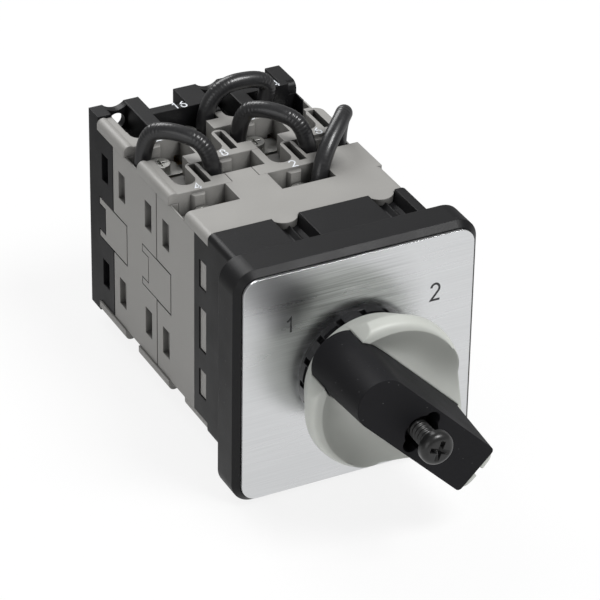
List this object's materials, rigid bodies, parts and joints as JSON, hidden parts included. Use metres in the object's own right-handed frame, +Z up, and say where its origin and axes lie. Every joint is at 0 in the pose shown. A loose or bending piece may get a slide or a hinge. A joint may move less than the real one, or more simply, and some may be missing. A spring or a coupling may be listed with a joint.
{
  "type": "rotary cam switch",
  "caption": "Panel-mounted rotary cam switch: square bezel with brushed dial plate, round knob with bar handle, stacked contact modules with screw terminals and jumper wires.",
  "frame": {"origin": "on the shaft axis, in the plane of the bezel's rear face, where it rests on the panel", "axes": "+X to the right seen from the front, +Y from the knob to the rear, +Z up"},
  "size_m": [0.045, 0.0957, 0.0494],
  "materials": {
    "black_plastic": "fine matt moulded",
    "collar_black": "glossy moulded",
    "dial_metal": "brushed",
    "grey_plastic": "fine matt moulded",
    "knob_grey": "smooth satin moulded",
    "handle_black": "fine matt moulded",
    "screw_black": "blackened",
    "plated_steel": "zinc plated",
    "spring_steel": "rolled strip",
    "cam_plastic": "smooth moulded",
    "contact_brass": "stamped",
    "partition_board": "pressed board",
    "wire_jacket": "smooth jacket, creased in bends"
  },
  "bodies": {
    "housing": {"front_frame": "black_plastic", "dial_plate": "dial_metal", "neck_collar": "collar_black", "index_housing": "black_plastic", "index_cover": "cam_plastic", "index_springs": "spring_steel", "front_contact_housing": "grey_plastic", "rear_contact_housing": "grey_plastic", "insulating_partition": "partition_board", "rear_end_plate": "black_plastic", "terminal_screws": "plated_steel", "terminal_clamps": "plated_steel", "tie_bolts": "plated_steel", "terminal_blocks_front": "grey_plastic", "terminal_blocks_middle": "grey_plastic", "terminal_blocks_rear": "grey_plastic", "terminal_cover": "grey_plastic", "fixed_contacts_1": "contact_brass", "fixed_contacts_2": "contact_brass", "fixed_contacts_3": "contact_brass", "fixed_contacts_4": "contact_brass", "jumper_wire_1": "wire_jacket", "jumper_wire_2": "wire_jacket", "jumper_wire_3": "wire_jacket", "jumper_wire_4": "wire_jacket", "return_spring_1_left": "spring_steel", "return_spring_1_right": "spring_steel", "return_spring_2_left": "spring_steel", "return_spring_2_right": "spring_steel", "return_spring_3_left": "spring_steel", "return_spring_3_right": "spring_steel", "return_spring_4_left": "spring_steel", "return_spring_4_right": "spring_steel"},
    "rotor": {"knob_body": "knob_grey", "handle_insert": "handle_black", "knob_screw": "screw_black", "switch_shaft": "plated_steel", "index_wheel": "cam_plastic", "cam_1": "cam_plastic", "cam_2": "cam_plastic", "cam_3": "cam_plastic", "cam_4": "cam_plastic"},
    "follower_1_left": {"cam_follower_1_left": "cam_plastic", "contact_bridge_1_left": "contact_brass"},
    "follower_1_right": {"cam_follower_1_right": "cam_plastic", "contact_bridge_1_right": "contact_brass"},
    "follower_2_left": {"cam_follower_2_left": "cam_plastic", "contact_bridge_2_left": "contact_brass"},
    "follower_2_right": {"cam_follower_2_right": "cam_plastic", "contact_bridge_2_right": "contact_brass"},
    "follower_3_left": {"cam_follower_3_left": "cam_plastic", "contact_bridge_3_left": "contact_brass"},
    "follower_3_right": {"cam_follower_3_right": "cam_plastic", "contact_bridge_3_right": "contact_brass"},
    "follower_4_left": {"cam_follower_4_left": "cam_plastic", "contact_bridge_4_left": "contact_brass"},
    "follower_4_right": {"cam_follower_4_right": "cam_plastic", "contact_bridge_4_right": "contact_brass"}
  },
  "joints": [
    {"name": "knob_turn", "type": "hinge", "parent": "housing", "child": "rotor", "pos_m": [0, 0, 0], "axis": [0, 1, 0], "range_deg": [0, 90], "deforming": ["index_springs"]},
    {"name": "follower_1_left_slide", "type": "slide", "parent": "housing", "child": "follower_1_left", "axis": [-1, 0, 0], "range_m": [0, 0.0016], "deforming": ["return_spring_1_left"]},
    {"name": "follower_1_right_slide", "type": "slide", "parent": "housing", "child": "follower_1_right", "axis": [1, 0, 0], "range_m": [0, 0.0016], "deforming": ["return_spring_1_right"]},
    {"name": "follower_2_left_slide", "type": "slide", "parent": "housing", "child": "follower_2_left", "axis": [-1, 0, 0], "range_m": [-0.0016, 0], "deforming": ["return_spring_2_left"]},
    {"name": "follower_2_right_slide", "type": "slide", "parent": "housing", "child": "follower_2_right", "axis": [1, 0, 0], "range_m": [-0.0016, 0], "deforming": ["return_spring_2_right"]},
    {"name": "follower_3_left_slide", "type": "slide", "parent": "housing", "child": "follower_3_left", "axis": [-1, 0, 0], "range_m": [0, 0.0016], "deforming": ["return_spring_3_left"]},
    {"name": "follower_3_right_slide", "type": "slide", "parent": "housing", "child": "follower_3_right", "axis": [1, 0, 0], "range_m": [0, 0.0016], "deforming": ["return_spring_3_right"]},
    {"name": "follower_4_left_slide", "type": "slide", "parent": "housing", "child": "follower_4_left", "axis": [-1, 0, 0], "range_m": [-0.0016, 0], "deforming": ["return_spring_4_left"]},
    {"name": "follower_4_right_slide", "type": "slide", "parent": "housing", "child": "follower_4_right", "axis": [1, 0, 0], "range_m": [-0.0016, 0], "deforming": ["return_spring_4_right"]}
  ],
  "couplings": [
    {"joint": "follower_1_left_slide", "follows": "knob_turn", "m_per_rad": 0.0010186},
    {"joint": "follower_1_right_slide", "follows": "knob_turn", "m_per_rad": 0.0010186},
    {"joint": "follower_2_left_slide", "follows": "knob_turn", "m_per_rad": -0.0010186},
    {"joint": "follower_2_right_slide", "follows": "knob_turn", "m_per_rad": -0.0010186},
    {"joint": "follower_3_left_slide", "follows": "knob_turn", "m_per_rad": 0.0010186},
    {"joint": "follower_3_right_slide", "follows": "knob_turn", "m_per_rad": 0.0010186},
    {"joint": "follower_4_left_slide", "follows": "knob_turn", "m_per_rad": -0.0010186},
    {"joint": "follower_4_right_slide", "follows": "knob_turn", "m_per_rad": -0.0010186}
  ]
}
